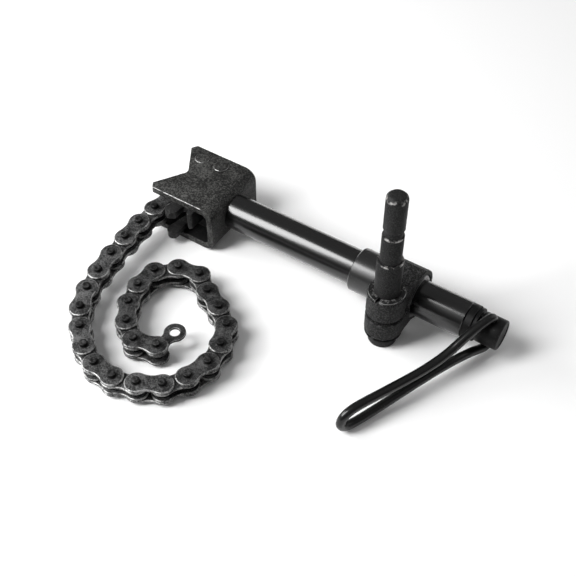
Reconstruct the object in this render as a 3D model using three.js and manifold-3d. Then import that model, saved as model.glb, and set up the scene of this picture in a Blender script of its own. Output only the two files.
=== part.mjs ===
import * as THREE from "three";
import { mergeVertices } from "three/addons/utils/BufferGeometryUtils.js";
import Module from "manifold-3d";

// A chain pipe clamp that carries a power saw. Lengths in millimetres.
// X runs along the tube from the vee to the handle, Y to the far side, Z up.

// Fits
const run = 0.3;
const seat = 0.1;
const linkGap = 0.4;

// Folded block that sits on the pipe
const blockHigh = 35.8;
const blockLong = 50.3;
const blockBase = 1.3;
const plate = 5;
const bendOut = 8.5;
const veeDeep = 11;
const veeRound = 1.4;
const veeTip = 2.7;
const veeEdge = 4.15;
const blockMid = blockBase + blockHigh / 2;
const blockTop = blockBase + blockHigh;

// Tube, its end bush and the screw inside
const axisHigh = 20.1;
const tubeOut = 12.2;
const tubeWall = 2.8;
const tubeIn = tubeOut - tubeWall;
const tubeEnd = 229.7;
const bushStep = 0.5;
const bushOut = tubeOut - bushStep;
const bushFlange = 5.2;
const bushPlug = 14;
const thrustOut = bushOut - bushStep;
const thrustThick = 2.3;
const screwOut = 6;
const noseOut = 5.5;
const noseStart = 26;
const noseEnd = 62;
const screwEdge = 1;
const keeperBack = 4.5;
const keeperThick = 2.2;
const keeperPlay = 0.8;
const keeperOut = tubeIn - keeperPlay;
const keeperGroove = 5;
const headGap = 1.1;
const headLong = 14.9;
const headOut = 10.1;
const headEdge = 0.9;
const headDrill = 6.9;
const bushEnd = tubeEnd + seat + bushFlange;
const thrustEnd = bushEnd + run + thrustThick;
const keeperAt = tubeEnd - bushPlug - keeperBack;
const headStart = thrustEnd + headGap;
const headEnd = headStart + headLong;
const headHole = headStart + headDrill;

// Wire handle
const wire = 2.75;
const bailHeading = -113.5;
const bailPoints = [
  [0, 22.9], [0, 27], [0, 30.6], [1.2, 32.9], [4, 33.8], [10.6, 32.6], [18.6, 29.8], [26, 26.3], [33, 23],
  [42.5, 20.5], [55.3, 18.9], [70.2, 18.2], [86, 17.3], [99, 16.6], [107.4, 16.2], [112, 14.3], [113.9, 9.7],
  [112, 5.1], [107.4, 3.2], [98.9, 2.95], [85, 3.3], [69, 4.9], [54.2, 6.6], [38.8, 8.2], [26.6, 8.8],
  [14.9, 8.2], [6.5, 6.2], [3, 5.9], [0.8, 7], [0, 9.6], [0, 13], [0, 17],
];

// Sliding carrier: liner sleeve, split casting, stepped pin
const sleeveWall = 2.5;
const sleeveOut = tubeOut + run + sleeveWall;
const sleeveOver = 23.9;
const castBefore = 10.8;
const castAfter = 10.5;
const castWall = 3.1;
const castOut = sleeveOut + run + castWall;
const castRoofShare = 0.35;
const castRoofDrop = 1.4;
const castFloor = 0.3;
const castHeel = 8.9;
const castPadNear = 1.5;
const castPadFar = 8;
const pinBack = 45.1;
const pinX = tubeEnd - pinBack;
const pinY = -26.6;
const castStart = pinX - castBefore;
const castEnd = pinX + castAfter;
const sleeveStart = castStart - sleeveOver;
const barrelOut = 12.2;
const barrelBase = 10.1;
const barrelTop = 43.1;
const slotHigh = 2.7;
const slotMid = 25.8;
const footOut = 9.25;
const lowStep = 8.2;
const midStep = 6.7;
const topStep = 6.6;
const neck = 5.7;
const ringThick = 1.6;
const ringGroove = 7.2;
const lowRingOut = 12.3;
const topRingOut = 11.7;
const lowStepTop = 72.6;
const midStepTop = 93.3;
const neckTop = 98.4;
const pinTop = 123.9;
const footEdge = 0.8;
const stepEdge = 0.6;
const tipEdge = 2;

// Chain
const pitch = 15.875;
const chainPlate = 1.8;
const chainHalf = 6.2;
const plateRound = 7.45;
const plateWaist = 5.85;
const chainPin = 2.6;
const pinHalf = 9;
const bushRound = 4.7;
const tabRound = 7.2;
const tabHole = 3.25;
const tabWaist = 4.2;
const lobeSteps = 8;
const waistSteps = 4;
const pinSides = 9;
const chainDrop = 1.5;
const rivetX = 11.2;
const rivetIn = 9.35;
const rivetHead = 5.5;
const rivetHeadHigh = 1.2;
const crownShare = 0.72;

// Double hook that the screw draws in
const hookLeft = 24.5;
const hookBack = 35;
const hookWall = 2.4;
const hookGap = 1.15;
const hookHigh = 24.2;
const hookTipX = 20.3;
const hookReach = 5.15;
const hookTip = 4.7;
const notchX = 28;
const notchBack = 4.3;
const notch = 2.95;
const shoulder = 2;
const shoulderBack = 3.3;
const mouthHigh = 14;
const mouthDeep = 22.3;
const fingerWide = 8.4;
const fingerDeep = 17.3;
const webHigh = 13.3;

// The block is as wide as the screw, the hook round it and the chain beside it need
const hookFar = noseOut + run + hookWall;
const rivetY = hookFar + hookGap + plateRound;
const blockWide = 2 * (rivetY + rivetIn);
const veeHalf = blockWide / 2 - veeEdge;
const hookTipY = -blockWide / 2 - hookReach;
const notchY = hookTipY + notchBack;
const shoulderY = hookTipY + shoulderBack;
const mouthFar = hookTipY + mouthDeep;

// Headings of the links in plan, and how far each one dips from the block down to the floor, in degrees
const headings = [
  -99, -99, -99, -93, -88, -87, -83, -78, -65, -50, -40, -26, -6, 16, 29, 56, 75, 97, 113, 144, 153, 146,
  190, 224, 266, 286, 305, 326, 374, 443,
];
const dips = [0, 0.5, 1.5, 3, 4.5, 5.5, 5.5, 4, 3, 2, 1, 0.5];

const wasm = await Module();
wasm.setup();

// Turning three.js geometry into solids and back
function solid(geometry) {
  const bare = geometry.clone();
  bare.deleteAttribute("normal");
  bare.deleteAttribute("uv");
  const joined = mergeVertices(bare, 1e-4);
  const index = joined.index.array;
  const kept = [];
  for (let i = 0; i < index.length; i += 3) {
    const [a, b, c] = [index[i], index[i + 1], index[i + 2]];
    if (a !== b && b !== c && c !== a) kept.push(a, b, c);
  }
  const vertProperties = Float32Array.from(joined.attributes.position.array);
  return new wasm.Manifold(new wasm.Mesh({ numProp: 3, vertProperties, triVerts: Uint32Array.from(kept) }));
}

function skin(body) {
  const mesh = body.getMesh();
  const geometry = new THREE.BufferGeometry();
  geometry.setAttribute("position", new THREE.BufferAttribute(Float32Array.from(mesh.vertProperties), 3));
  geometry.setIndex(new THREE.BufferAttribute(Uint32Array.from(mesh.triVerts), 1));
  const faceted = geometry.toNonIndexed();
  faceted.computeVertexNormals();
  return faceted;
}

function prism(shape, low, high, curve = 12) {
  const settings = { depth: high - low, bevelEnabled: false, curveSegments: curve };
  return new THREE.ExtrudeGeometry(shape, settings).translate(0, 0, low);
}

// Profile points are [radius, height]; the turned piece stands on Z
function turned(profile, sides = 32) {
  const points = profile.map(([r, h]) => new THREE.Vector2(r, h));
  return new THREE.LatheGeometry(points, sides).rotateX(Math.PI / 2);
}

function rod(radius, low, high, sides = 24) {
  return turned([[0, low], [radius, low], [radius, high], [0, high]], sides);
}

function pipe(inner, outer, low, high, sides = 32) {
  return turned([[inner, low], [outer, low], [outer, high], [inner, high], [inner, low]], sides);
}

function box(x0, x1, y0, y1, z0, z1) {
  const geometry = new THREE.BoxGeometry(x1 - x0, y1 - y0, z1 - z0);
  return geometry.translate((x0 + x1) / 2, (y0 + y1) / 2, (z0 + z1) / 2);
}

// Lays a piece that stands on Z along the tube's axis
function alongTube(geometry) {
  return geometry.rotateY(Math.PI / 2).translate(0, 0, axisHigh);
}

function cut(body, ...tools) {
  return tools.reduce((left, tool) => left.subtract(solid(tool)), body);
}

function fuse(...geometries) {
  return geometries.map(solid).reduce((sum, next) => sum.add(next));
}

// Block: one folded plate, open to the pipe, with a vee in both flanges
function blockProfile() {
  const inner = bendOut - plate;
  const shape = new THREE.Shape();
  shape.moveTo(-veeTip, blockBase);
  shape.lineTo(blockLong - bendOut, blockBase);
  shape.absarc(blockLong - bendOut, blockBase + bendOut, bendOut, -Math.PI / 2, 0, false);
  shape.lineTo(blockLong, blockTop - bendOut);
  shape.absarc(blockLong - bendOut, blockTop - bendOut, bendOut, 0, Math.PI / 2, false);
  shape.lineTo(-veeTip, blockTop);
  shape.lineTo(-veeTip, blockTop - plate);
  shape.lineTo(blockLong - bendOut, blockTop - plate);
  shape.absarc(blockLong - bendOut, blockTop - bendOut, inner, Math.PI / 2, 0, true);
  shape.lineTo(blockLong - plate, blockBase + bendOut);
  shape.absarc(blockLong - bendOut, blockBase + bendOut, inner, 0, -Math.PI / 2, true);
  shape.lineTo(-veeTip, blockBase + plate);
  shape.closePath();
  return shape;
}

// The vee with its rounded root, and the blunt tips on both sides of it
function veeShape() {
  const side = (veeRound * veeHalf) / (veeDeep + veeTip);
  const past = blockWide / 2 + veeEdge;
  const shape = new THREE.Shape();
  shape.moveTo(veeDeep - veeRound, -side);
  shape.quadraticCurveTo(veeDeep, 0, veeDeep - veeRound, side);
  shape.lineTo(-veeTip, veeHalf);
  shape.lineTo(veeTip, past);
  shape.lineTo(-veeDeep, past);
  shape.lineTo(-veeDeep, -past);
  shape.lineTo(veeTip, -past);
  shape.lineTo(-veeTip, -veeHalf);
  shape.closePath();
  return shape;
}

function makeBlock() {
  const channel = prism(blockProfile(), -blockWide / 2, blockWide / 2, 5).rotateX(Math.PI / 2);
  const holes = [0, pitch].map((step) =>
    rod(chainPin + seat, 0, 2 * blockTop, 12).translate(rivetX + step, rivetY, -blockBase),
  );
  const screwHole = alongTube(rod(screwOut + run, blockLong - 2 * plate, blockLong + plate));
  return cut(solid(channel), prism(veeShape(), 0, 2 * blockTop, 4), screwHole, ...holes);
}

function makeRivet(x) {
  const low = blockBase - seat;
  const high = blockTop + seat;
  const crown = rivetHead * crownShare;
  const side = rivetHeadHigh * crownShare;
  const profile = [
    [0, low - rivetHeadHigh], [crown, low - side], [rivetHead, low - side / 2], [rivetHead, low],
    [chainPin, low], [chainPin, high],
    [rivetHead, high], [rivetHead, high + side / 2], [crown, high + side], [0, high + rivetHeadHigh],
  ];
  return solid(turned(profile, 14).translate(x, rivetY, 0));
}

// Tube and what turns in it
function makeTube() {
  return solid(alongTube(pipe(tubeIn, tubeOut, blockLong + seat, tubeEnd, 36)));
}

function makeEndBush() {
  const bore = screwOut + run;
  const flange = bushEnd - bushFlange;
  const profile = [
    [bore, tubeEnd - bushPlug], [tubeIn - seat, tubeEnd - bushPlug], [tubeIn - seat, flange],
    [bushOut, flange], [bushOut, bushEnd], [bore, bushEnd], [bore, tubeEnd - bushPlug],
  ];
  return solid(alongTube(turned(profile, 28)));
}

function makeThrustRing() {
  return solid(alongTube(pipe(screwOut + run, thrustOut, bushEnd + run, thrustEnd, 28)));
}

function makeScrew() {
  const profile = [
    [0, noseStart], [noseOut - screwEdge, noseStart], [noseOut, noseStart + screwEdge],
    [noseOut, noseEnd], [screwOut, noseEnd + screwEdge],
    [screwOut, keeperAt - run], [keeperGroove, keeperAt - run],
    [keeperGroove, keeperAt + keeperThick + run], [screwOut, keeperAt + keeperThick + run],
    [screwOut, headStart], [headOut - headEdge, headStart], [headOut, headStart + headEdge],
    [headOut, headEnd - headEdge], [headOut - headEdge, headEnd], [0, headEnd],
  ];
  const hole = rod(wire + run, 0, 2 * axisHigh, 16).translate(headHole, 0, 0);
  return cut(solid(alongTube(turned(profile, 22))), hole);
}

// An open spring ring lying flat; open is the angle of its gap, facing the given heading
function openRing(inner, outer, thick, open, heading) {
  const half = THREE.MathUtils.degToRad(open / 2);
  const from = THREE.MathUtils.degToRad(heading);
  const shape = new THREE.Shape();
  shape.absarc(0, 0, outer, from + half, from - half + 2 * Math.PI, false);
  shape.absarc(0, 0, inner, from - half + 2 * Math.PI, from + half, true);
  return prism(shape, 0, thick, 8);
}

function makeKeeper() {
  const ring = openRing(keeperGroove + seat, keeperOut, keeperThick, 50, 0);
  return solid(alongTube(ring.translate(0, 0, keeperAt)));
}

function makeBail() {
  const heading = THREE.MathUtils.degToRad(bailHeading);
  const route = bailPoints.map(([out, high]) => {
    return new THREE.Vector3(headHole + out * Math.cos(heading), out * Math.sin(heading), high);
  });
  const curve = new THREE.CatmullRomCurve3(route, false, "centripetal");
  const section = new THREE.Shape();
  section.absarc(0, 0, wire, 0, 2 * Math.PI, false);
  return solid(new THREE.ExtrudeGeometry(section, { steps: 64, extrudePath: curve, curveSegments: 4 }));
}

// Carrier
function makeSleeve() {
  return solid(alongTube(pipe(tubeOut + run, sleeveOut, sleeveStart, castEnd, 36)));
}

function castingProfile() {
  const shape = new THREE.Shape();
  const heel = pinY + lowRingOut + run;
  shape.moveTo(pinY, barrelTop);
  shape.lineTo(pinY, barrelBase);
  shape.lineTo(heel, barrelBase);
  shape.lineTo(heel, castHeel);
  shape.lineTo(castPadNear, castFloor);
  shape.lineTo(castPadFar, castFloor);
  shape.absarc(0, axisHigh, castOut, THREE.MathUtils.degToRad(-58), THREE.MathUtils.degToRad(58), false);
  shape.lineTo(castOut * castRoofShare, 2 * axisHigh - castRoofDrop);
  shape.closePath();
  return shape;
}

function makeCasting() {
  const length = castEnd - castStart;
  const slab = prism(castingProfile(), 0, length, 14).applyMatrix4(
    new THREE.Matrix4().makeBasis(
      new THREE.Vector3(0, 1, 0), new THREE.Vector3(0, 0, 1), new THREE.Vector3(1, 0, 0),
    ),
  ).translate(castStart, 0, 0);
  const barrel = rod(barrelOut, barrelBase, barrelTop, 32).translate(pinX, pinY, 0);
  const bore = alongTube(rod(sleeveOut + run, castStart - plate, castEnd + plate, 36));
  const pinHole = rod(lowStep + run, 0, 2 * barrelTop, 24).translate(pinX, pinY, -barrelBase);
  const slotLow = slotMid - slotHigh / 2;
  const slot = box(castStart - plate, castEnd + plate, pinY - 2 * barrelOut, 0, slotLow, slotLow + slotHigh);
  return cut(fuse(slab, barrel), bore, pinHole, slot);
}

function makeCarrierPin() {
  const lowGroove = barrelBase - seat - ringThick - run;
  const topGroove = barrelTop + seat;
  const profile = [
    [0, 0], [footOut - footEdge, 0], [footOut, footEdge], [footOut, lowGroove], [ringGroove, lowGroove],
    [ringGroove, barrelBase], [lowStep, barrelBase], [lowStep, topGroove], [ringGroove, topGroove],
    [ringGroove, topGroove + ringThick + run], [lowStep, topGroove + ringThick + run],
    [lowStep, lowStepTop - stepEdge], [lowStep - stepEdge, lowStepTop], [midStep, lowStepTop],
    [midStep, midStepTop - stepEdge], [midStep - stepEdge, midStepTop], [neck, midStepTop], [neck, neckTop],
    [topStep, neckTop], [topStep, pinTop - tipEdge], [topStep - tipEdge, pinTop], [0, pinTop],
  ];
  return solid(turned(profile, 24).translate(pinX, pinY, 0));
}

function makeRing(outer, low, heading) {
  return solid(openRing(ringGroove + seat, outer, ringThick, 42, heading).translate(pinX, pinY, low));
}

// Hook: a notched upper jaw, a web and a lower finger, threaded on the nose of the screw
function hookProfile() {
  const shape = new THREE.Shape();
  shape.moveTo(hookLeft, hookFar);
  shape.lineTo(hookTipX - hookTip, hookTipY);
  shape.absarc(hookTipX, hookTipY, hookTip, Math.PI, 2 * Math.PI, false);
  shape.absarc(notchX, notchY, notch, Math.PI, 0, true);
  shape.absarc(hookBack - shoulder, shoulderY, shoulder, Math.PI, 2 * Math.PI, false);
  shape.lineTo(hookBack, hookFar);
  shape.closePath();
  return shape;
}

function makeHook() {
  const low = blockMid - hookHigh / 2;
  const body = solid(prism(hookProfile(), low, low + hookHigh, 7));
  const web = notchX + notch;
  const mouthLow = blockMid - mouthHigh / 2;
  const mouth = box(0, web, 3 * hookTipY, mouthFar, mouthLow, mouthLow + mouthHigh);
  const finger = hookTipX - hookTip + fingerWide;
  const below = box(finger, 2 * hookBack, 3 * hookTipY, hookTipY + fingerDeep, 0, low + hookHigh - webHigh);
  const thread = alongTube(rod(noseOut + run, 0, 2 * hookBack, 20));
  return cut(body, mouth, below, thread);
}

// Chain plates: two round lobes joined by a waist whose curve runs smoothly into both
function bend(x, y, radius, from, to, steps) {
  return Array.from({ length: steps + 1 }, (_, i) => {
    const angle = from + ((to - from) * i) / steps;
    return new THREE.Vector2(x + radius * Math.cos(angle), y + radius * Math.sin(angle));
  });
}

function linkOutline(round, waist, holes) {
  const half = pitch / 2;
  const hollow = (half ** 2 + waist ** 2 - round ** 2) / (2 * (round - waist));
  const lean = Math.atan2(waist + hollow, half);
  const low = bend(half, -waist - hollow, hollow, Math.PI - lean, lean, waistSteps).slice(1, -1);
  const high = bend(half, waist + hollow, hollow, -lean, lean - Math.PI, waistSteps).slice(1, -1);
  const near = bend(0, 0, round, lean, 2 * Math.PI - lean, lobeSteps);
  const far = bend(pitch, 0, round, lean - Math.PI, Math.PI - lean, lobeSteps);
  const shape = new THREE.Shape([...near, ...low, ...far, ...high]);
  holes.forEach((radius, end) => {
    if (radius) shape.holes.push(new THREE.Path().absarc(end * pitch, 0, radius, 0, 2 * Math.PI, true));
  });
  return shape;
}

function platePair(outline, inside) {
  return [-inside - chainPlate, inside].map((low) => prism(outline, low, low + chainPlate, 4));
}

// Rods across a link, at the given ends of it
function crossRods(ends, radius, half) {
  return ends.map((end) => rod(radius, -half, half, pinSides).translate(end * pitch, 0, 0));
}

function outerLink(first) {
  const outline = linkOutline(plateRound, plateWaist, [first ? chainPin + run : 0]);
  const plates = platePair(outline, chainHalf - chainPlate);
  return fuse(...plates, ...crossRods(first ? [1] : [0, 1], chainPin, pinHalf));
}

function innerLink() {
  const inside = chainHalf - 2 * chainPlate - linkGap;
  const plates = platePair(linkOutline(plateRound, plateWaist, []), inside);
  const bushes = crossRods([0, 1], bushRound, inside + chainPlate / 2);
  return cut(fuse(...plates, ...bushes), ...crossRods([0, 1], chainPin + run, pinHalf));
}

function endTab() {
  const inside = chainHalf - 2 * chainPlate - linkGap;
  const shape = linkOutline(tabRound, tabWaist, [chainPin + run, tabHole]);
  return solid(prism(shape, inside, inside + chainPlate, 5));
}

// Where each link starts and how it lies
function chainPlaces() {
  const level = blockMid - chainDrop;
  const places = [{ at: new THREE.Vector3(rivetX + pitch, rivetY, level), turn: Math.PI, dip: 0 }];
  const at = new THREE.Vector3(rivetX, rivetY, level);
  headings.forEach((heading, i) => {
    const turn = THREE.MathUtils.degToRad(heading);
    const dip = THREE.MathUtils.degToRad(dips[i] ?? 0);
    places.push({ at: at.clone(), turn, dip });
    at.x += pitch * Math.cos(turn) * Math.cos(dip);
    at.y += pitch * Math.sin(turn) * Math.cos(dip);
    at.z -= pitch * Math.sin(dip);
  });
  return places;
}

function placeLink(geometry, place) {
  return geometry.rotateY(place.dip).rotateZ(place.turn).translate(place.at.x, place.at.y, place.at.z);
}

// Colours, one material for each mesh
const looks = {
  steel: { color: 0x1d1d1f, roughness: 0.55, metalness: 0.6 },
  gloss: { color: 0x0b0b0c, roughness: 0.18, metalness: 0.3 },
  cast: { color: 0x161618, roughness: 0.8, metalness: 0.4 },
  satin: { color: 0x141415, roughness: 0.4, metalness: 0.5 },
  chain: { color: 0x232326, roughness: 0.38, metalness: 0.8 },
};

const object = new THREE.Group();
object.name = "chain_pipe_clamp";

function addGeometry(name, geometry, look) {
  const mesh = new THREE.Mesh(geometry, new THREE.MeshStandardMaterial({ ...looks[look] }));
  mesh.name = name;
  geometry.translate(-pinX, -pinY, 0);
  object.add(mesh);
}

function addPiece(name, body, look) {
  addGeometry(name, skin(body), look);
}

addPiece("block_channel", makeBlock(), "steel");
addPiece("rivet_front", makeRivet(rivetX), "steel");
addPiece("rivet_rear", makeRivet(rivetX + pitch), "steel");
addPiece("guide_tube", makeTube(), "gloss");
addPiece("tube_end_bush", makeEndBush(), "satin");
addPiece("thrust_ring", makeThrustRing(), "satin");
addPiece("draw_screw", makeScrew(), "satin");
addPiece("screw_keeper", makeKeeper(), "steel");
addPiece("hook_block", makeHook(), "steel");
addPiece("wire_bail", makeBail(), "gloss");
addPiece("liner_sleeve", makeSleeve(), "satin");
addPiece("carrier_casting", makeCasting(), "cast");
addPiece("carrier_pin", makeCarrierPin(), "satin");
addPiece("pin_ring_lower", makeRing(lowRingOut, barrelBase - seat - ringThick, -60), "steel");
addPiece("pin_ring_upper", makeRing(topRingOut, barrelTop + seat + run / 2, 200), "steel");

const places = chainPlaces();
const last = places.length - 1;
places.forEach((place, i) => {
  const inner = i % 2 === 0;
  const body = i === last ? endTab() : inner ? innerLink() : outerLink(i === 1);
  const name = i === last ? "chain_tab" : `chain_link_${String(i).padStart(2, "0")}`;
  addGeometry(name, placeLink(skin(body), place), "chain");
});

export default object;
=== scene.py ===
import bmesh
import bpy
import math
from mathutils import Matrix, Vector, noise


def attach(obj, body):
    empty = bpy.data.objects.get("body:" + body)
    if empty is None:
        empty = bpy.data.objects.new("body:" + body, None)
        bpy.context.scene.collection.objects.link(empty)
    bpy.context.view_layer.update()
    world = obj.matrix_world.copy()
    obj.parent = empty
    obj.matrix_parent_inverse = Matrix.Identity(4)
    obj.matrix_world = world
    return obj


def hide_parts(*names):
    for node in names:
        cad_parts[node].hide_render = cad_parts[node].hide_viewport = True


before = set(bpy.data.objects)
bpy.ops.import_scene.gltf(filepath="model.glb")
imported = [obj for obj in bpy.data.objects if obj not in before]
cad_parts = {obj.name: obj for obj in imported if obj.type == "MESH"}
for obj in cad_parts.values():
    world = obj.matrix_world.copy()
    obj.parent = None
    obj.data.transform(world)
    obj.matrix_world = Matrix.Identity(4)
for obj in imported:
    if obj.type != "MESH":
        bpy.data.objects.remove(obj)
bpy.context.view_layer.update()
print("frame loaded")

# Lengths are in mm. From the vee x runs along the tube, y is measured across from the tube's axis, and z from
# the floor. The row frame starts at the carrier pin's foot and is in metres.
shared = {"axisHigh": 20.1, "pinX": 184.6, "pinY": -26.6, "seat": 0.1, "run": 0.3, "pitch": 15.875}
alongX = Matrix.Translation((0, 0, shared["axisHigh"])) @ Matrix.Rotation(math.pi / 2, 4, "Y")
atPin = Matrix.Translation((shared["pinX"], shared["pinY"], 0))


def toRow(p):
    return Vector(((p[0] - shared["pinX"]) / 1000, (p[1] - shared["pinY"]) / 1000, p[2] / 1000))


# Mesh helpers
def ringPoints(cx, cy, radius, start, end, steps):
    span = [math.radians(start + (end - start) * i / steps) for i in range(steps + 1)]
    return [(cx + radius * math.cos(a), cy + radius * math.sin(a)) for a in span]


def rectangle(left, near, right, far):
    return [(left, near), (right, near), (right, far), (left, far)]


def corner(radius, height, steps):
    # steps is a list of offsets from the sharp corner
    return [(radius + r, height + h) for r, h in steps]


def prism(bm, outline, low, high):
    face = bm.faces.new([bm.verts.new((x, y, low)) for x, y in outline])
    made = bmesh.ops.extrude_face_region(bm, geom=[face])["geom"]
    top = [v for v in made if isinstance(v, bmesh.types.BMVert)]
    bmesh.ops.translate(bm, vec=(0, 0, high - low), verts=top)
    bmesh.ops.recalc_face_normals(bm, faces=bm.faces[:])
    return list(face.verts) + top


def lathe(bm, profile, sides=96):
    # profile is a list of (radius, height); a radius of zero closes the end
    before = set(bm.verts)
    verts = [bm.verts.new((radius, 0, height)) for radius, height in profile]
    edges = [bm.edges.new(pair) for pair in zip(verts, verts[1:])]
    bmesh.ops.spin(bm, geom=verts + edges, axis=(0, 0, 1), cent=(0, 0, 0), angle=2 * math.pi, steps=sides,
                   use_merge=True)
    bmesh.ops.remove_doubles(bm, verts=[v for v in bm.verts if v not in before], dist=0.0001)
    return [v for v in bm.verts if v not in before]


def sweep(bm, route, radius, normal, sides=28):
    # circles across the route, the first and the last one closed, are bridged one after the other
    loops = []
    last = len(route) - 1
    for i, point in enumerate(route):
        along = (route[min(i + 1, last)] - route[max(i - 1, 0)]).normalized()
        across = along.cross(normal).normalized()
        turn = Matrix((across, normal, across.cross(normal))).transposed().to_4x4()
        made = bmesh.ops.create_circle(bm, cap_ends=i in (0, last), segments=sides, radius=radius,
                                       matrix=Matrix.Translation(point) @ turn)
        rim = set(made["verts"])
        loops.append([e for e in bm.edges if rim.issuperset(e.verts)])
    for lower, upper in zip(loops, loops[1:]):
        bmesh.ops.bridge_loops(bm, edges=lower + upper)


def move(bm, verts, matrix):
    bmesh.ops.transform(bm, matrix=matrix, verts=verts)


def prismTool(outline, low, high):
    bm = bmesh.new()
    prism(bm, outline, low, high)
    return bm


def rodTool(radius, low, high, sides, matrix):
    bm = bmesh.new()
    move(bm, lathe(bm, [(0, low), (radius, low), (radius, high), (0, high)], sides), matrix)
    return bm


def roundEdges(bm, width, segments, sharper=40):
    bm.normal_update()
    edges = [e for e in bm.edges if len(e.link_faces) == 2 and e.calc_face_angle(0) > math.radians(sharper)]
    made = bmesh.ops.bevel(bm, geom=edges, offset=width, segments=segments, profile=0.5, affect="EDGES",
                           clamp_overlap=True, material=-1)
    for f in made["faces"]:
        f.material_index = 1


def markFaces(bm, index, pick):
    bm.normal_update()
    for f in bm.faces:
        if pick(f):
            f.material_index = index


def mergeFlat(bm):
    bmesh.ops.remove_doubles(bm, verts=bm.verts[:], dist=0.01)
    bmesh.ops.dissolve_limit(bm, angle_limit=math.radians(1), verts=bm.verts[:], edges=bm.edges[:])


def fromMesh(mesh):
    bm = bmesh.new()
    bm.from_mesh(mesh)
    return bm


def toMesh(bm, name):
    mesh = bpy.data.meshes.new(name)
    bm.to_mesh(mesh)
    bm.free()
    return mesh


def linkObject(name, data):
    item = bpy.data.objects.new(name, data)
    bpy.context.scene.collection.objects.link(item)
    return item


def tempObject(bm, name):
    bmesh.ops.recalc_face_normals(bm, faces=bm.faces[:])
    return linkObject(name, toMesh(bm, name))


def applied(item):
    bpy.context.view_layer.update()
    return bpy.data.meshes.new_from_object(item.evaluated_get(bpy.context.evaluated_depsgraph_get()))


def carve(bm, name, steps):
    # steps is a list of (operation, the tool's name, the tool's bmesh)
    base = tempObject(bm, name)
    tools = [(operation, tempObject(tool, toolName)) for operation, toolName, tool in steps]
    for operation, tool in tools:
        change = base.modifiers.new(tool.name, "BOOLEAN")
        change.operation = operation
        change.solver = "EXACT"
        change.object = tool
    done = applied(base)
    for item in [base] + [tool for _, tool in tools]:
        bpy.data.objects.remove(item)
    return fromMesh(done)


def addPiece(bm, name, body, nodes, slot, *looks, sharper=38):
    # looks go by material index: 0 the body, 1 rounded edges, 2 and 3 what markFaces or addRod picked
    bmesh.ops.recalc_face_normals(bm, faces=bm.faces[:])
    for v in bm.verts:
        v.co = toRow(v.co)
    for f in bm.faces:
        f.smooth = True
    for e in bm.edges:
        e.smooth = not (len(e.link_faces) == 2 and e.calc_face_angle(0) > math.radians(sharper))
    piece = linkObject(name, toMesh(bm, name))
    for look in looks:
        piece.data.materials.append(look)
    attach(piece, body)
    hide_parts(*nodes)


# Materials: fields are sockets that can be added and multiplied like numbers
class Field:
    def __init__(self, graph, socket):
        self.graph = graph
        self.socket = socket

    def math(self, operation, *others):
        values = {str(i): value for i, value in enumerate((self, *others))}
        return self.graph.node("Math", "Value", operation=operation, **values)

    def __add__(self, other):
        return self.math("ADD", other)

    def __radd__(self, other):
        return self.math("ADD", other)

    def __sub__(self, other):
        return self.math("SUBTRACT", other)

    def __rsub__(self, other):
        return (self * -1) + other

    def __mul__(self, other):
        return self.math("MULTIPLY", other)

    def __rmul__(self, other):
        return self.math("MULTIPLY", other)

    def __pow__(self, other):
        return self.math("POWER", other)

    def size(self):
        return self.math("ABSOLUTE")

    def clamp(self):
        return self.graph.node("Clamp", "Result", Value=self)

    def ramp(self, low, high):
        return self.graph.node("MapRange", "Result", interpolation_type="SMOOTHSTEP",
                               Value=self, **{"From Min": low, "From Max": high})


class Graph:
    def __init__(self, tree, coordinates):
        self.tree = tree
        self.place = self.node("TexCoord", coordinates)

    def node(self, kind, output, **values):
        # a key is the number or name of an input, or else a setting of the node
        made = self.tree.nodes.new("ShaderNode" + kind)
        for key, value in values.items():
            if key.isdigit():
                target = made.inputs[int(key)]
            elif key in made.inputs:
                target = made.inputs[key]
            else:
                setattr(made, key, value)
                continue
            if isinstance(value, Field):
                self.tree.links.new(value.socket, target)
            else:
                target.default_value = value
        return Field(self, made.outputs[output])

    def axes(self):
        split = self.node("SeparateXYZ", 0, Vector=self.place).socket.node
        return [Field(self, output) for output in split.outputs]


class Look(Graph):
    def __init__(self, name, settings):
        self.material = bpy.data.materials.new(name)
        self.material.use_nodes = True
        super().__init__(self.material.node_tree, "Object")
        self.shader = self.tree.nodes["Principled BSDF"]
        for socket, value in settings.items():
            if socket in self.shader.inputs:
                self.shader.inputs[socket].default_value = value

    def noise(self, scale, detail, roughness, at=None):
        place = at or self.place
        return self.node("TexNoise", "Fac", Vector=place, Scale=scale, Detail=detail, Roughness=roughness)

    def stretched(self, scale):
        return self.node("Mapping", "Vector", Vector=self.place, Scale=scale)

    def cells(self, scale):
        return self.node("TexVoronoi", "Distance", Vector=self.place, Scale=scale)

    def blend(self, amount, low, high):
        ends = {key: end if isinstance(end, Field) else (*end, 1) for key, end in (("6", low), ("7", high))}
        return self.node("Mix", 2, data_type="RGBA", Factor=amount, **ends)

    def paint(self, color, roughness=None, metallic=None, bump=None, depth=None, strength=None, glow=None):
        fields = {"Base Color": color, "Roughness": roughness, "Metallic": metallic, "Emission Color": glow}
        if bump is not None:
            fields["Normal"] = self.node("Bump", "Normal", Height=bump, Distance=depth, Strength=strength)
        for socket, field in fields.items():
            if field is not None:
                self.tree.links.new(field.socket, self.shader.inputs[socket])
        return self.material


def gray(value):
    return (value, value, value)


# Steel with worn patches over a dark finish, fine grain and pits
forged = {"detail": 4, "broadRough": 0.6, "fineRough": 0.7, "pitEdge": 0.35, "fineBump": 0.7, "pitBump": 0.3}


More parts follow.
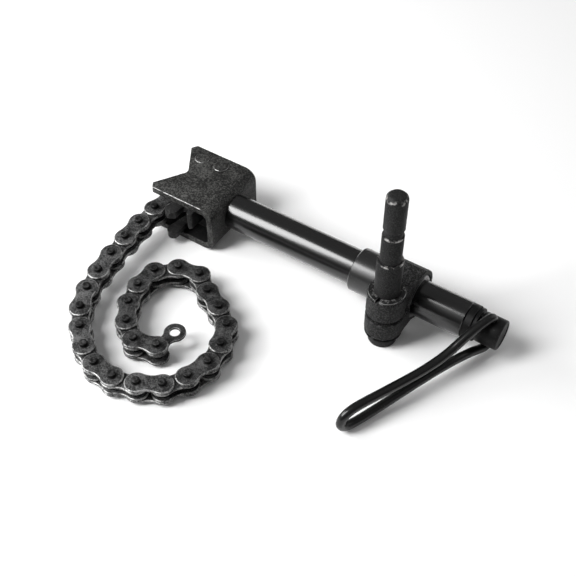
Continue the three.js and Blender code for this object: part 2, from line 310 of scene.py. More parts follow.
def forgedLook(name, settings):
    look = Look(name, settings)
    broad = look.noise(settings["broad"], forged["detail"], forged["broadRough"])
    fine = look.noise(settings["fine"], forged["detail"], forged["fineRough"])
    grain = settings["grain"]
    pits = look.cells(settings["pits"]).ramp(0.0, forged["pitEdge"])
    worn = (broad * (1 - grain) + fine * grain).ramp(settings["wornLow"], settings["wornHigh"])
    color = look.blend(worn, settings["dark"], settings["bare"])
    rough = (fine * settings["roughSpan"] + settings["roughness"]).clamp()
    bump = fine * forged["fineBump"] + pits * forged["pitBump"]
    return look.paint(color, rough, None, bump, settings["depth"], settings["strength"])


forgedSteel = forgedLook("forgedSteel", {
    "Metallic": 0.15, "IOR": 1.5, "Specular IOR Level": 0.3,
    "broad": 90, "fine": 900, "pits": 1100, "grain": 0.75, "wornLow": 0.43, "wornHigh": 0.62,
    "dark": (0.004, 0.004, 0.0038), "bare": (0.085, 0.085, 0.081),
    "roughness": 0.38, "roughSpan": 0.35, "depth": 0.0005, "strength": 1.0,
})
forgedEdge = forgedLook("forgedEdge", {
    "Metallic": 0.9, "IOR": 1.5, "Specular IOR Level": 0.5,
    "broad": 260, "fine": 900, "pits": 900, "grain": 0.4, "wornLow": 0.4, "wornHigh": 0.56,
    "dark": gray(0.05), "bare": (0.36, 0.36, 0.355),
    "roughness": 0.3, "roughSpan": 0.2, "depth": 0.00008, "strength": 0.4,
})
# Painted shade: a near-black copy of the forged steel, for the block's inside faces, the lower ring under the
# casting, and the sides of the chain's bushes and pins
forgedPaintedShade = forgedLook("forgedPaintedShade", {
    "Metallic": 0.0, "IOR": 1.5, "Specular IOR Level": 0.12,
    "broad": 90, "fine": 800, "pits": 900, "grain": 0.6, "wornLow": 0.45, "wornHigh": 0.75,
    "dark": gray(0.003), "bare": gray(0.02),
    "roughness": 0.55, "roughSpan": 0.25, "depth": 0.0002, "strength": 0.6,
})
castBlack = forgedLook("castBlack", {
    "Metallic": 0.0, "IOR": 1.5, "Specular IOR Level": 0.2,
    "broad": 150, "fine": 900, "pits": 900, "grain": 0.85, "wornLow": 0.46, "wornHigh": 0.62,
    "dark": gray(0.001), "bare": gray(0.06),
    "roughness": 0.42, "roughSpan": 0.3, "depth": 0.0006, "strength": 1.0,
})
hookSteel = forgedLook("hookSteel", {
    "Metallic": 0.2, "IOR": 1.5, "Specular IOR Level": 0.3,
    "broad": 120, "fine": 900, "pits": 1000, "grain": 0.6, "wornLow": 0.45, "wornHigh": 0.72,
    "dark": gray(0.01), "bare": (0.08, 0.08, 0.079),
    "roughness": 0.38, "roughSpan": 0.25, "depth": 0.0002, "strength": 0.7,
})
ringSteel = forgedLook("ringSteel", {
    "Metallic": 0.5, "IOR": 1.5, "Specular IOR Level": 0.4,
    "broad": 220, "fine": 700, "pits": 1400, "grain": 0.5, "wornLow": 0.52, "wornHigh": 0.64,
    "dark": gray(0.012), "bare": (0.35, 0.35, 0.345),
    "roughness": 0.3, "roughSpan": 0.25, "depth": 0.00008, "strength": 0.5,
})

# The chain is worn near the block and still oiled towards its free end
chainPlate = {
    "Metallic": 0.45, "IOR": 1.5, "Specular IOR Level": 0.4,
    "broad": 160, "fine": 1000, "pits": 1400, "grain": 0.55, "wornLow": 0.4, "wornHigh": 0.64,
    "roughness": 0.36, "roughSpan": 0.25, "depth": 0.00012, "strength": 0.7,
}
chainRim = {
    "Metallic": 0.8, "IOR": 1.5, "Specular IOR Level": 0.5,
    "broad": 200, "fine": 900, "pits": 1400, "grain": 0.5, "wornLow": 0.4, "wornHigh": 0.62,
    "roughness": 0.34, "roughSpan": 0.2, "depth": 0.00005, "strength": 0.5,
}
chainSteel = forgedLook("chainSteel", {**chainPlate, "dark": gray(0.012), "bare": gray(0.16)})
chainOiled = forgedLook("chainOiled", {**chainPlate, "dark": gray(0.008), "bare": gray(0.1)})
chainEdge = forgedLook("chainEdge", {**chainRim, "dark": gray(0.07), "bare": (0.5, 0.5, 0.495)})
oiledEdge = forgedLook("oiledEdge", {**chainRim, "dark": gray(0.04), "bare": (0.36, 0.36, 0.355)})
# Painted shade: a darker copy of the chain steel for the plates' side walls and the pins' ends
chainPaintedShade = forgedLook("chainPaintedShade", {
    "Metallic": 0.3, "IOR": 1.5, "Specular IOR Level": 0.3,
    "broad": 200, "fine": 900, "pits": 1400, "grain": 0.5, "wornLow": 0.45, "wornHigh": 0.68,
    "dark": gray(0.004), "bare": gray(0.075),
    "roughness": 0.36, "roughSpan": 0.25, "depth": 0.00008, "strength": 0.5,
})

# Smooth black finishes with a faint smear and some dust
gloss = {
    "smearDetail": 3, "smearRough": 0.5, "dustDetail": 2, "dustRough": 0.6, "dustLow": 0.62, "dustHigh": 0.8,
    "smearBump": 0.6, "dustBump": 0.4, "strength": 0.35,
}


def glossLook(name, settings):
    look = Look(name, settings)
    along = look.stretched(settings["stretch"])
    smear = look.noise(settings["smear"], gloss["smearDetail"], gloss["smearRough"], along)
    dust = look.noise(settings["dust"], gloss["dustDetail"], gloss["dustRough"])
    rough = (smear * settings["roughSpan"] + settings["roughness"]).clamp()
    color = look.blend(dust.ramp(gloss["dustLow"], gloss["dustHigh"]), settings["dark"], settings["pale"])
    bump = smear * gloss["smearBump"] + dust * gloss["dustBump"]
    return look.paint(color, rough, None, bump, settings["depth"], gloss["strength"])


glossBlack = glossLook("glossBlack", {
    "Metallic": 0.0, "IOR": 1.45, "Specular IOR Level": 0.25, "Coat Weight": 0.9, "Coat Roughness": 0.175,
    "smear": 60, "stretch": (0.25, 1, 1), "dust": 1200, "roughness": 0.19, "roughSpan": 0.2,
    "dark": gray(0.002), "pale": gray(0.02), "depth": 0.00004,
})
wireBlack = glossLook("wireBlack", {
    "Metallic": 0.0, "IOR": 1.5, "Specular IOR Level": 0.15, "Coat Weight": 0.6, "Coat Roughness": 0.13,
    "smear": 300, "stretch": (1, 1, 1), "dust": 1300, "roughness": 0.26, "roughSpan": 0.3,
    "dark": gray(0.002), "pale": gray(0.04), "depth": 0.0002,
})
sleeveSatin = glossLook("sleeveSatin", {
    "Metallic": 0.4, "IOR": 1.5, "Coat Weight": 0.8, "Coat Roughness": 0.26,
    "smear": 500, "stretch": (0.05, 1, 1), "dust": 900, "roughness": 0.26, "roughSpan": 0.2,
    "dark": gray(0.01), "pale": gray(0.05), "depth": 0.00004,
})
darkSteel = glossLook("darkSteel", {
    "Metallic": 0.0, "IOR": 1.5, "Specular IOR Level": 0.18,
    "smear": 500, "stretch": (0.05, 1, 1), "dust": 900, "roughness": 0.32, "roughSpan": 0.25,
    "dark": gray(0.003), "pale": gray(0.05), "depth": 0.00006,
})

# The pin is turned black, with bare metal on the rims of its steps, each given as (height, width) in metres
turned = {
    "IOR": 1.5, "Specular IOR Level": 0.15,
    "rims": [(0.0724, 0.0009), (0.0931, 0.0008), (0.0984, 0.0005), (0.1219, 0.0016)],
    "dark": gray(0.006), "pale": gray(0.035), "bare": (0.5, 0.49, 0.48),
    "detail": 3, "noiseRough": 0.6, "stretch": (0.1, 0.1, 1), "lathed": 900, "fine": 700, "patches": 200,
    "patchLow": 0.47, "patchHigh": 0.6, "specks": 1500, "speckLow": 0.4, "speckHigh": 0.7,
    "wornFine": 1.2, "wornBase": 0.4, "roughness": 0.4, "lathedRough": 0.2, "fineRough": 0.1,
    "wornSmooth": 0.15, "lathedBump": 0.7, "fineBump": 0.3, "depth": 0.00008, "strength": 0.5,
}


def pinLook(name, settings):
    look = Look(name, settings)
    height = look.axes()[2]
    kind = (settings["detail"], settings["noiseRough"])
    lathed = look.noise(settings["lathed"], *kind, look.stretched(settings["stretch"]))
    fine = look.noise(settings["fine"], *kind)
    rim = None
    for at, width in settings["rims"]:
        ring = (1 - ((height - at) * (1 / width)).size()).clamp()
        rim = ring if rim is None else rim.math("MAXIMUM", ring)
    patchy = look.noise(settings["patches"], *kind).ramp(settings["patchLow"], settings["patchHigh"])
    worn = (rim * patchy * (fine * settings["wornFine"] + settings["wornBase"])).clamp()
    speck = look.noise(settings["specks"], *kind).ramp(settings["speckLow"], settings["speckHigh"])
    color = look.blend(worn, look.blend(speck, settings["dark"], settings["pale"]), settings["bare"])
    rough = lathed * settings["lathedRough"] + fine * settings["fineRough"] + settings["roughness"]
    rough = (rough - worn * settings["wornSmooth"]).clamp()
    bump = lathed * settings["lathedBump"] + fine * settings["fineBump"]
    return look.paint(color, rough, worn, bump, settings["depth"], settings["strength"])


pinSatin = pinLook("pinSatin", turned)
print("materials made")

# Block: one plate folded to a channel, with a vee cut in both flanges
block = {
    "wide": 52.3, "long": 50.3, "low": 1.3, "high": 37.1, "plate": 5, "bend": 8.5, "bendSteps": 10,
    "edge": 0.4, "vee": 11, "veeRound": 1.4, "veeTip": 2.7, "veeHalf": 22,
    "past": 20, "margin": 0.1, "nearUpperDepth": 1,
}


def channelOutline():
    low, high, plate, bend = block["low"], block["high"], block["plate"], block["bend"]
    steps, inner = block["bendSteps"], bend - plate
    corner, tip = block["long"] - bend, -block["veeTip"]
    outline = [(tip, low)] + ringPoints(corner, low + bend, bend, -90, 0, steps)
    outline += ringPoints(corner, high - bend, bend, 0, 90, steps) + [(tip, high), (tip, high - plate)]
    outline += ringPoints(corner, high - bend, inner, 90, 0, steps - 2)
    return outline + ringPoints(corner, low + bend, inner, 0, -90, steps - 2) + [(tip, low + plate)]


def veeOutline():
    # a parabola rounds the root, and the outline runs wide of the block on its open side
    curve, half, tip, past = block["veeRound"], block["veeHalf"], block["veeTip"], block["past"]
    near, side = block["vee"] - curve, curve * half / (block["vee"] + tip)
    root = [(near + curve * 2 * t * (1 - t), side * (2 * t - 1)) for t in (0, 0.15, 0.3, 0.5, 0.7, 0.85, 1)]
    wide = block["wide"] - half
    return root + [(-tip, half), (tip, wide), (-past, wide), (-past, -wide), (tip, -wide), (-tip, -half)]


def makeBlock():
    low, high, plate, margin = block["low"], block["high"], block["plate"], block["margin"]
    half = block["wide"] / 2
    bm = bmesh.new()
    move(bm, prism(bm, channelOutline(), -half, half), Matrix.Rotation(math.pi / 2, 4, "X"))
    vee = prismTool(veeOutline(), low - plate, high + plate)
    bm = carve(bm, "blockBase", [("DIFFERENCE", "veeCut", vee)])
    mergeFlat(bm)

    def inside(f):
        at, across = f.calc_center_median(), abs(f.normal.x) + abs(f.normal.z)
        hollow = low + plate - margin < at.z < high - plate + margin
        return abs(f.normal.y) < 0.9 < across and at.x < block["long"] - plate + margin and hollow

    def unworn(f):
        # of the rounded edges only the near upper one keeps the pale metal edge look
        at, depth = f.calc_center_median(), block["nearUpperDepth"]
        worn = at.z > high - depth and at.x < block["long"] - block["bend"] and at.y < depth - half
        return f.material_index == 1 and not worn

    # the faces inside the channel take the third look, painted shade
    markFaces(bm, 2, inside)
    roundEdges(bm, block["edge"], 3)
    markFaces(bm, 0, unworn)
    addPiece(bm, "blockBody", "frame", ["block_channel"], "forged_steel",
             forgedSteel, forgedEdge, forgedPaintedShade)


# Two long rivets hold the chain's first link. The dome is given in parts of its radius and height.
rivet = {
    "x": 11.2, "y": 16.8, "head": 5.5, "high": 1.2, "shank": 2.6, "wornTilt": 0.85,
    "dome": [(0, 1), (0.4, 0.95), (0.7, 0.82), (0.86, 0.66), (0.95, 0.45), (1, 0.2), (1, 0)],
}


def makeRivet(name, x, node):
    low, top = block["low"] - shared["seat"], block["high"] + shared["seat"]
    dome = [(rivet["head"] * r, rivet["high"] * h) for r, h in rivet["dome"]]
    profile = [(r, low - h) for r, h in dome] + [(rivet["shank"], low), (rivet["shank"], top)]
    profile += [(r, top + h) for r, h in dome[::-1]]
    bm = bmesh.new()
    move(bm, lathe(bm, profile, 48), Matrix.Translation((x, rivet["y"], 0)))
    markFaces(bm, 1, lambda f: abs(f.normal.z) < rivet["wornTilt"] and f.calc_center_median().z > top)
    addPiece(bm, name, "frame", [node], "forged_steel", forgedSteel, forgedEdge, sharper=50)


makeBlock()
makeRivet("rivetFront", rivet["x"], "rivet_front")
makeRivet("rivetRear", rivet["x"] + shared["pitch"], "rivet_rear")
print("block made")

# Turned pieces on the tube's axis
tube = {"inner": 9.4, "outer": 12.2, "low": block["long"] + shared["seat"], "high": 229.7, "edge": 0.4}
bush = {
    "bore": 6.3, "plug": 9.3, "plugLong": 14, "flange": 11.7, "flangeLong": 5.2,
    "edge": 0.5, "outerEdge": 0.4,
}
thrust = {"outer": 11.2, "long": 2.3, "edge": 0.3}
sleeve = {"inner": 12.5, "outer": 15, "low": 149.9, "high": 195.1, "edge": 0.7}


def makeTurned(name, profile, body, nodes, slot, look, matrix=alongX):
    bm = bmesh.new()
    move(bm, lathe(bm, profile), matrix)
    addPiece(bm, name, body, nodes, slot, look)


def pipeProfile(inner, outer, low, high, edge):
    return [(inner, low), (outer - edge, low), (outer, low + edge),
            (outer, high - edge), (outer - edge, high), (inner, high), (inner, low)]


def makeTube():
    makeTurned("tubeBody", pipeProfile(**tube), "frame", ["guide_tube"], "gloss_black", glossBlack)
    bore, plug, flange, edge, outerEdge = (bush[k] for k in ("bore", "plug", "flange", "edge", "outerEdge"))
    start, seat = tube["high"] - bush["plugLong"], tube["high"] + shared["seat"]
    end = seat + bush["flangeLong"]
    profile = [
        (bore, start), (plug, start), (plug, seat), (flange - edge, seat), (flange, seat + edge),
        (flange, end - outerEdge), (flange - outerEdge, end), (bore, end), (bore, start),
    ]
    makeTurned("endBush", profile, "frame", ["tube_end_bush"], "satin_black", darkSteel)
    low = end + shared["run"]
    makeTurned("thrustRing", pipeProfile(bore, thrust["outer"], low, low + thrust["long"], thrust["edge"]),
               "frame", ["thrust_ring"], "satin_black", darkSteel)


# Draw screw: a threaded nose, a grooved shank and a dished head with a cross hole for the handle
screw = {
    "tip": 26, "noseEdge": 1, "crest": 5.5, "root": 4.9, "lead": 3, "flank": 0.8, "land": 1, "turns": 11,
    "threadStart": 27.4, "threadEnd": 62, "shank": 6, "groove": 5, "grooveStart": 210.9, "grooveEnd": 213.7,
    "head": 10.1, "headStart": 238.7, "headEnd": 253.6, "hole": 245.6, "holeRadius": 3.05, "holeTop": 45,
    "startEdge": [(-0.9, 0), (-0.3, 0.25), (0, 0.9)],
    "endEdge": [(0, -0.9), (-0.2, -0.3), (-0.7, 0), (-1.6, 0), (-2, -0.5)], "dish": 0.7,
}


def makeScrew():
    crest, root, shank, groove, edge = (screw[k] for k in ("crest", "root", "shank", "groove", "noseEdge"))
    profile = [(0, screw["tip"]), (crest - edge, screw["tip"]), (crest, screw["tip"] + edge)]
    for i in range(screw["turns"]):
        start = screw["threadStart"] + screw["lead"] * i
        low = start + screw["flank"]
        high = low + screw["land"]
        profile += [(crest, start), (root, low), (root, high), (crest, high + screw["flank"])]
    profile += [
        (crest, screw["threadEnd"]), (shank, screw["threadEnd"] + edge),
        (shank, screw["grooveStart"]), (groove, screw["grooveStart"]),
        (groove, screw["grooveEnd"]), (shank, screw["grooveEnd"]), (shank, screw["headStart"]),
    ]
    profile += corner(screw["head"], screw["headStart"], screw["startEdge"])
    profile += corner(screw["head"], screw["headEnd"], screw["endEdge"])
    profile += [(0, screw["headEnd"] - screw["dish"])]
    bm = bmesh.new()
    move(bm, lathe(bm, profile), alongX)
    hole = rodTool(screw["holeRadius"], 0, screw["holeTop"], 48, Matrix.Translation((screw["hole"], 0, 0)))
    bm = carve(bm, "drawScrewBase", [("DIFFERENCE", "crossHole", hole)])
    addPiece(bm, "drawScrew", "screw", ["draw_screw"], "satin_black", darkSteel)


makeTube()
makeScrew()
makeTurned("linerSleeve", pipeProfile(**sleeve), "sleeve", ["liner_sleeve"], "satin_black", sleeveSatin)
print("tube side made")

# Open rings: flat rings with a gap, in degrees, that faces the given heading
ringShape = {"steps": 56, "edge": 0.25}
keeper = {"inner": 5.1, "outer": 8.6, "at": 211.2, "thick": 2.2, "gap": 50, "heading": 0}
lowerRing = {"inner": 7.3, "outer": 12.0, "at": 8.4, "thick": 1.2, "gap": 13, "heading": -98}
upperRing = {"inner": 7.3, "outer": 11.7, "at": 43.35, "thick": 1.6, "gap": 13, "heading": -93}


def makeOpenRing(ring, place, name, body, nodes, *looks):
    near, far = ring["heading"] + ring["gap"] / 2, ring["heading"] + 360 - ring["gap"] / 2
    outline = ringPoints(0, 0, ring["outer"], near, far, ringShape["steps"])
    outline += ringPoints(0, 0, ring["inner"], far, near, ringShape["steps"])
    bm = bmesh.new()
    move(bm, prism(bm, outline, ring["at"], ring["at"] + ring["thick"]), place)
    roundEdges(bm, ringShape["edge"], 2)
    addPiece(bm, name, body, nodes, "forged_steel", *looks)


makeOpenRing(keeper, alongX, "screwKeeper", "screw", ["screw_keeper"], forgedSteel, forgedEdge)
# the lower ring, under the casting's barrel, is painted in shade all over
makeOpenRing(lowerRing, atPin, "ringLower", "saw_pin", ["pin_ring_lower"], forgedPaintedShade, forgedPaintedShade)
makeOpenRing(upperRing, atPin, "ringUpper", "saw_pin", ["pin_ring_upper"], ringSteel, forgedEdge)
print("rings made")

# Wire handle: one rod bent in a plane, both ends in the head's cross hole; points are (distance, height)
bail = {
    "heading": -113.5, "wire": 2.95, "steps": 6,
    "points": [
        (0, 22.9), (0, 27), (0, 30.6), (1.2, 32.9), (4, 33.8), (10.6, 32.4), (18.6, 29.4), (26, 25.6),
        (33, 22), (42.5, 18.9), (55.3, 17.3), (70.2, 17.3), (86, 17.9), (97, 18.3), (105.4, 17.8),
        (111, 15.2), (113.6, 10.2), (112, 5.4), (107.4, 3.3), (98.9, 3.05), (85, 4.3), (69, 6.3), (54.2, 8.1),
        (38.8, 9.2), (26.6, 9.3), (14.9, 8.2), (6.5, 6.2), (3, 5.9), (0.8, 7), (0, 9.6), (0, 13), (0, 17),
    ],
}


def smoothRoute(points, steps):
    # a spline through every point
    route = []
    padded = [points[0] * 2 - points[1]] + points + [points[-1] * 2 - points[-2]]
    for a, b, c, d in zip(padded, padded[1:], padded[2:], padded[3:]):
        square, cube = 2 * a - 5 * b + 4 * c - d, 3 * b - a - 3 * c + d
        for t in (i / steps for i in range(steps)):
            route.append(0.5 * (2 * b + (c - a) * t + square * t ** 2 + cube * t ** 3))
    return route + [points[-1]]


def makeBail():
    heading = math.radians(bail["heading"])
    out = Vector((math.cos(heading), math.sin(heading), 0))
    points = [Vector((screw["hole"], 0, z)) + s * out for s, z in bail["points"]]
    bm = bmesh.new()
    sweep(bm, smoothRoute(points, bail["steps"]), bail["wire"], Vector((out.y, -out.x, 0)))
    addPiece(bm, "wireBail", "bail", ["wire_bail"], "gloss_black", wireBlack, sharper=60)


makeBail()
print("handle made")

# Split casting: a ring and a barrel run together, then softened and roughened
casting = {
    "start": 173.8, "end": 195.1, "past": 14,
    "round": 18.4, "roundHalf": 58, "bore": 15.3, "boreSmooth": 15.8,
    "barrel": 12.2, "low": 10.6, "high": 43.1, "pinBore": 8.5, "slot": 2.7, "slotAt": 25.8, "slotNear": -60,
    "heelY": -14, "heelHigh": 8.9, "padNear": 1.5, "padFar": 8, "floor": 0.3, "roofY": 6.44, "roofHigh": 38.8,
    "webNear": -13, "webFar": -8, "webHigh": 24,
    "voxel": 0.5, "softness": 0.5, "softSteps": 3, "rough": 0.12, "coarse": 0.9, "fine": 2.3,
}


def castingSlab():
    # the outline is drawn in y and z, and the slab runs along x
    c = casting
    outline = [(shared["pinY"], c["high"]), (shared["pinY"], c["low"]), (c["heelY"], c["low"])]
    outline += [(c["heelY"], c["heelHigh"]), (c["padNear"], c["floor"]), (c["padFar"], c["floor"])]
    outline += ringPoints(0, shared["axisHigh"], c["round"], -c["roundHalf"], c["roundHalf"], 24)
    outline += [(c["roofY"], c["roofHigh"])]
    bm = bmesh.new()
    verts = prism(bm, outline, c["start"], c["end"])
    move(bm, verts, Matrix(((0, 0, 1, 0), (1, 0, 0, 0), (0, 1, 0, 0), (0, 0, 0, 1))))
    return bm


def softened(bm):
    item = linkObject("castTemp", toMesh(bm, "castTemp"))
    remesh = item.modifiers.new("remesh", "REMESH")
    remesh.mode = "VOXEL"
    remesh.voxel_size = casting["voxel"]
    soften = item.modifiers.new("soften", "SMOOTH")
    soften.factor = casting["softness"]
    soften.iterations = casting["softSteps"]
    bm = fromMesh(applied(item))
    bpy.data.objects.remove(item)
    return bm


def makeCasting():
    c = casting
    x, y, side = shared["pinX"], shared["pinY"], shared["pinX"] + c["barrel"]
    left, right = c["start"] - c["past"], c["end"] + c["past"]
    web = prismTool([(x, y), (side, y), (side, c["webNear"]), (c["end"], c["webFar"]), (x, c["webFar"])],
                    c["low"], c["webHigh"])
    slot = prismTool(rectangle(left, c["slotNear"], right, 0),
                     c["slotAt"] - c["slot"] / 2, c["slotAt"] + c["slot"] / 2)
    bm = softened(carve(castingSlab(), "slab", [
        ("UNION", "barrel", rodTool(c["barrel"], c["low"], c["high"], 72, atPin)),
        ("UNION", "web", web),
        ("DIFFERENCE", "bore", rodTool(c["bore"], left, right, 72, alongX)),
        ("DIFFERENCE", "pinBore", rodTool(c["pinBore"], 0, c["high"] + c["past"], 72, atPin)),
        ("DIFFERENCE", "slot", slot),
    ]))
    bm.normal_update()
    for v in bm.verts:
        if math.hypot(v.co.y, v.co.z - shared["axisHigh"]) >= c["boreSmooth"]:
            bumps = noise.noise(v.co * c["coarse"]) + 0.5 * noise.noise(v.co * c["fine"])
            v.co += v.normal * c["rough"] * bumps
        v.co.z = max(v.co.z, c["floor"])
    addPiece(bm, "carrierCasting", "carrier", ["carrier_casting"], "rough_casting", castBlack, sharper=80)


makeCasting()
print("casting made")

# Stepped pin: a foot, two steps, a neck and a chamfered tip, with grooves for the open rings
pin = {
    "foot": 9.25, "groove": 7.2, "lowerGroove": (8.1, 10.1), "upperGroove": (43.2, 45.1),
    "low": 8.2, "lowTop": 72.6, "mid": 6.7, "midTop": 93.3, "tip": 6.6, "top": 123.9,
    "neck": 5.7, "neckTop": 98.4, "neckEdge": 0.2,
    "footEdge": [(-0.75, 0), (-0.2, 0.25), (0, 0.8)], "lowEdge": [(0, -0.7), (-0.15, -0.2), (-0.6, 0)],
    "midEdge": [(0, -0.6), (-0.15, -0.15), (-0.5, 0)], "tipEdge": [(-0.3, 0), (0, 0.4)],
    "topEdge": [(0, -2.7), (-0.2, -1.9), (-1.7, -0.3), (-2.2, 0)],
}


def makePin():
    foot, groove, low, mid, neck = (pin[k] for k in ("foot", "groove", "low", "mid", "neck"))
    profile = [(0, 0)] + corner(foot, 0, pin["footEdge"])
    for radius, (start, end) in ((foot, pin["lowerGroove"]), (low, pin["upperGroove"])):
        profile += [(radius, start), (groove, start), (groove, end), (low, end)]
    profile += corner(low, pin["lowTop"], pin["lowEdge"]) + [(mid, pin["lowTop"])]
    profile += corner(mid, pin["midTop"], pin["midEdge"])
    profile += [(neck, pin["midTop"] + pin["neckEdge"]), (neck, pin["neckTop"] - pin["neckEdge"])]
    profile += corner(pin["tip"], pin["neckTop"], pin["tipEdge"])
    profile += corner(pin["tip"], pin["top"], pin["topEdge"]) + [(0, pin["top"])]
    makeTurned("carrierPin", profile, "saw_pin", ["carrier_pin"], "satin_black", pinSatin, atPin)


makePin()
print("pin made")

# Hook: an upper jaw with a round notch, a web with the thread for the screw, and a shorter lower finger
hook = {
    "left": 24.5, "back": 35, "far": 8.2, "low": 7.1, "high": 31.3, "edge": 0.6, "thread": 5.8, "past": 90,
    "tipX": 20.3, "tipY": -31.3, "tip": 4.7, "notchX": 28, "notchY": -27, "notch": 2.95,
    "hornX": 33, "hornY": -28, "horn": 2, "mouthLow": 12.2, "mouthHigh": 26.2, "mouthFar": -9,
    "fingerX": 24, "fingerY": -14, "webLow": 18,
}


def makeHook():
    h, past = hook, hook["past"]
    outline = [(h["left"], h["far"])] + ringPoints(h["tipX"], h["tipY"], h["tip"], 180, 360, 24)
    outline += ringPoints(h["notchX"], h["notchY"], h["notch"], 180, 0, 20)
    outline += ringPoints(h["hornX"], h["hornY"], h["horn"], 180, 360, 14) + [(h["back"], h["far"])]
    mouth = rectangle(0, -past, h["notchX"] + h["notch"], h["mouthFar"])
    below = rectangle(h["fingerX"], -past, past, h["fingerY"])
    bm = carve(prismTool(outline, h["low"], h["high"]), "hookBase", [
        ("DIFFERENCE", "mouth", prismTool(mouth, h["mouthLow"], h["mouthHigh"])),
        ("DIFFERENCE", "below", prismTool(below, 0, h["webLow"])),
        ("DIFFERENCE", "thread", rodTool(h["thread"], 0, past, 48, alongX)),
    ])
    mergeFlat(bm)
    roundEdges(bm, h["edge"], 3)
    addPiece(bm, "hookBody", "hook", ["hook_block"], "forged_steel", hookSteel, chainEdge)


makeHook()
print("hook made")

# Chain: headings turn each link in the plane, dips lower it from the block to the floor, both in degrees
chain = {
    "plate": 1.8, "half": 6.2, "gap": 0.4, "round": 7.45, "waist": 5.85, "plateEdge": 0.75,
    "roundSteps": 28, "hollowSteps": 9, "bush": 4.7, "mid": 17.7, "oiledFrom": 16,
    "pin": 2.6, "pinHalf": 9.0, "dimple": [(0, 0.25), (0.7, 0.18), (1.1, 0)],
    "pinEdge": [(-0.5, 0), (-0.12, 0.2), (0, 0.6)], "collar": [(0, -0.25), (0.55, -0.05), (0.55, 0.3)],
    "tabRound": 7.2, "tabWaist": 4.2, "tabHole": 3.25, "tabEdge": 0.45,
    "headings": [-99, -99, -99, -93, -88, -87, -83, -78, -65, -50, -40, -26, -6, 16, 29, 56, 75, 97, 113, 144,
                 153, 146, 190, 224, 266, 286, 305, 326, 374, 443],
    "dips": [0, 0.5, 1.5, 3, 4.5, 5.5, 5.5, 4, 3, 2, 1, 0.5],
}
innerInside = chain["half"] - 2 * chain["plate"] - chain["gap"]
outerInside = chain["half"] - chain["plate"]


def plateOutline(radius, waist):
    # two round ends with a hollow on both sides between them
    pitch, half, steps, few = shared["pitch"], shared["pitch"] / 2, chain["roundSteps"], chain["hollowSteps"]
    hollow = (half ** 2 + waist ** 2 - radius ** 2) / (2 * (radius - waist))
    lean = math.degrees(math.atan2(waist + hollow, half))
    outline = ringPoints(0, 0, radius, lean, 360 - lean, steps)
    outline += ringPoints(half, -waist - hollow, hollow, 180 - lean, lean, few)[1:-1]
    outline += ringPoints(pitch, 0, radius, lean - 180, 180 - lean, steps)
    return outline + ringPoints(half, waist + hollow, hollow, -lean, lean - 180, few)[1:-1]


def addPlate(bm, low):
    part = prismTool(plateOutline(chain["round"], chain["waist"]), low, low + chain["plate"])
    # the plates' side walls get painted shade
    markFaces(part, 2, lambda f: abs(f.normal.z) < 0.5)
    roundEdges(part, chain["plateEdge"], 4)
    mesh = toMesh(part, "plate")
    bm.from_mesh(mesh)
    bpy.data.meshes.remove(mesh)


def addRod(bm, profile, sides, x):
    before = set(bm.faces)
    move(bm, lathe(bm, profile, sides), Matrix.Translation((x, 0, 0)))
    bm.normal_update()
    for f in bm.faces:
        if f not in before:
            # rod ends take the chain's painted shade look and rod sides the near-black painted shade
            f.material_index = 2 if abs(f.normal.z) > 0.6 else 3


def pinProfile():
    # a dimpled end with a rounded edge, and the pressed collar where it leaves the plate
    radius, half = chain["pin"], chain["pinHalf"]
    end = chain["dimple"] + corner(radius, 0, chain["pinEdge"])
    end += corner(radius, half - chain["half"], chain["collar"])
    return [(r, h - half) for r, h in end] + [(r, half - h) for r, h in end[::-1]]


def linkMesh(kind):
    # the first outer link turns on the front rivet, so it has a pin at its far end only
    bm = bmesh.new()
    inside = innerInside if kind == "inner" else outerInside
    addPlate(bm, -inside - chain["plate"])
    addPlate(bm, inside)
    bushProfile = [(0, -inside), (chain["bush"], -inside), (chain["bush"], inside), (0, inside)]
    for x in (0, shared["pitch"]):
        if kind == "inner":
            addRod(bm, bushProfile, 36, x)
        elif kind == "outer" or x > 0:
            addRod(bm, pinProfile(), 32, x)
    return bm


def tabMesh():
    low = innerInside
    plate = prismTool(plateOutline(chain["tabRound"], chain["tabWaist"]), low, low + chain["plate"])
    hole = rodTool(chain["tabHole"], 0, chain["half"], 40, Matrix.Translation((shared["pitch"], 0, 0)))
    bm = carve(plate, "tabBase", [("DIFFERENCE", "tabHole", hole)])
    roundEdges(bm, chain["tabEdge"], 3)
    return bm


def chainPlaces():
    at = Vector((rivet["x"], rivet["y"], chain["mid"]))
    places = [(at + Vector((shared["pitch"], 0, 0)), math.pi, 0.0)]
    for i, heading in enumerate(chain["headings"]):
        turn = math.radians(heading)
        dip = math.radians(chain["dips"][i]) if i < len(chain["dips"]) else 0
        places.append((at.copy(), turn, dip))
        flat = math.cos(dip)
        at += shared["pitch"] * Vector((math.cos(turn) * flat, math.sin(turn) * flat, -math.sin(dip)))
    return places


def makeChain():
    places = chainPlaces()
    last = len(places) - 1
    for i, (at, turn, dip) in enumerate(places):
        kind = "inner" if i % 2 == 0 else "outer"
        bm = tabMesh() if i == last else linkMesh("first" if i == 1 else kind)
        lean = Matrix.Rotation(turn, 4, "Z") @ Matrix.Rotation(dip, 4, "Y")
        move(bm, bm.verts[:], Matrix.Translation(at) @ lean)
        node = "chain_tab" if i == last else f"chain_link_{i:02d}"
        name = "chainTab" if i == last else f"chainLink{i:02d}"
        top, edge = (chainOiled, oiledEdge) if i >= chain["oiledFrom"] else (chainSteel, chainEdge)
        body = "frame" if i == 0 else node
        # the third and fourth looks are painted shade
        addPiece(bm, name, body, [node], "chain_steel", top, edge, chainPaintedShade, forgedPaintedShade)


makeChain()
print("chain made")

# Floor: white to the camera and in reflections, with the object's shadow, and a plain white glow far away
ground = {"half": 8, "white": 0.95, "toLamps": 0.4, "glow": 0.85, "glowFrom": 0.4, "glowFull": 1.1}


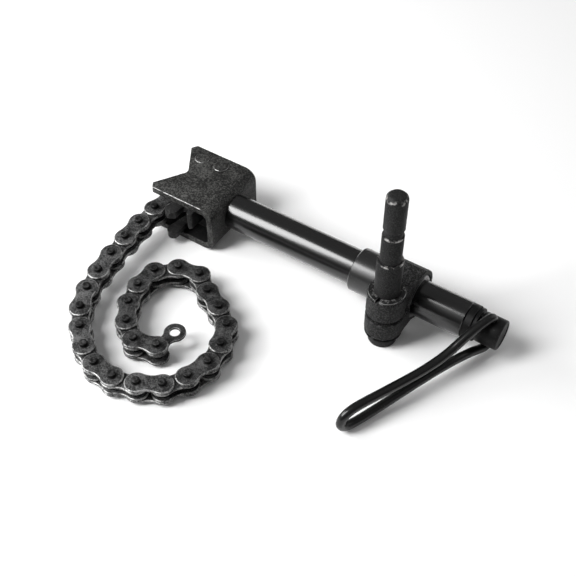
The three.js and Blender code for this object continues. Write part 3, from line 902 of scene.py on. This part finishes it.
def makeFloor():
    bm = bmesh.new()
    bmesh.ops.create_grid(bm, x_segments=1, y_segments=1, size=ground["half"])
    floor = linkObject("floor", toMesh(bm, "floor"))
    look = Look("floorWhite", {"Specular IOR Level": 0.0, "Emission Strength": 1.0})
    rays = [look.node("LightPath", f"Is {ray} Ray") for ray in ("Camera", "Glossy", "Transmission")]
    seen = (rays[0] + rays[1] + rays[2]).clamp()
    x, y = look.axes()[:2]
    far = ((x * x + y * y) ** 0.5).ramp(ground["glowFrom"], ground["glowFull"])
    color = look.blend(seen * (1 - far), gray(ground["toLamps"]), gray(ground["white"]))
    glow = look.blend(seen * far, gray(0), gray(ground["glow"]))
    floor.data.materials.append(look.paint(color, glow=glow))


# Lamps: place, target and size in metres, and watts. The room is darker near the horizon than overhead.
lamps = {
    "keyFront": ((-0.67, -0.755, 0.96), (-0.05, 0.02, 0.03), (0.42, 1.0), 21),
    "fillLeft": ((-1.1, -0.35, 0.55), (-0.05, 0.0, 0.03), (0.6, 0.6), 9),
    "fillBack": ((0.7, 1.1, 0.8), (-0.05, 0.0, 0.03), (1.3, 1.3), 4),
}
room = {"From Min": 0.0, "From Max": 0.8, "To Min": 0.05, "To Max": 0.3}


def turnTo(item, direction):
    item.rotation_mode = "QUATERNION"
    item.rotation_quaternion = direction.to_track_quat("-Z", "Y")


def makeRoom():
    world = bpy.context.scene.world or bpy.data.worlds.new("world")
    bpy.context.scene.world = world
    world.use_nodes = True
    graph = Graph(world.node_tree, "Generated")
    shade = graph.node("MapRange", "Result", Value=graph.axes()[2], **room)
    background = graph.tree.nodes["Background"]
    background.inputs["Color"].default_value = (*gray(1), 1)
    graph.tree.links.new(shade.socket, background.inputs["Strength"])


def makeLamps():
    for name, (at, target, size, watts) in lamps.items():
        data = bpy.data.lights.new(name, "AREA")
        data.shape = "RECTANGLE"
        data.size, data.size_y = size
        data.energy = watts
        lamp = linkObject(name, data)
        lamp.location = at
        turnTo(lamp, Vector(target) - Vector(at))


# Camera: its place in mm and its angles in degrees, and a focal length in pixels of a square picture
view = {
    "at": (352.97, -391.39, 489.95), "azimuth": 33.44, "elevation": 48.12, "focal": 977.09, "pixels": 576,
    "sensor": 36, "clipNear": 0.05, "clipFar": 20,
}


def makeCamera():
    data = bpy.data.cameras.new("camera")
    data.sensor_width = view["sensor"]
    data.lens = view["focal"] / view["pixels"] * view["sensor"]
    data.clip_start, data.clip_end = view["clipNear"], view["clipFar"]
    camera = linkObject("camera", data)
    azimuth, elevation = math.radians(view["azimuth"]), math.radians(view["elevation"])
    flat = math.cos(elevation)
    camera.location = toRow(view["at"])
    turnTo(camera, -Vector((math.sin(azimuth) * flat, -math.cos(azimuth) * flat, math.sin(elevation))))
    bpy.context.scene.camera = camera


makeFloor()
makeRoom()
makeLamps()
makeCamera()
bpy.context.scene.view_settings.view_transform = "Standard"
print("stage made")
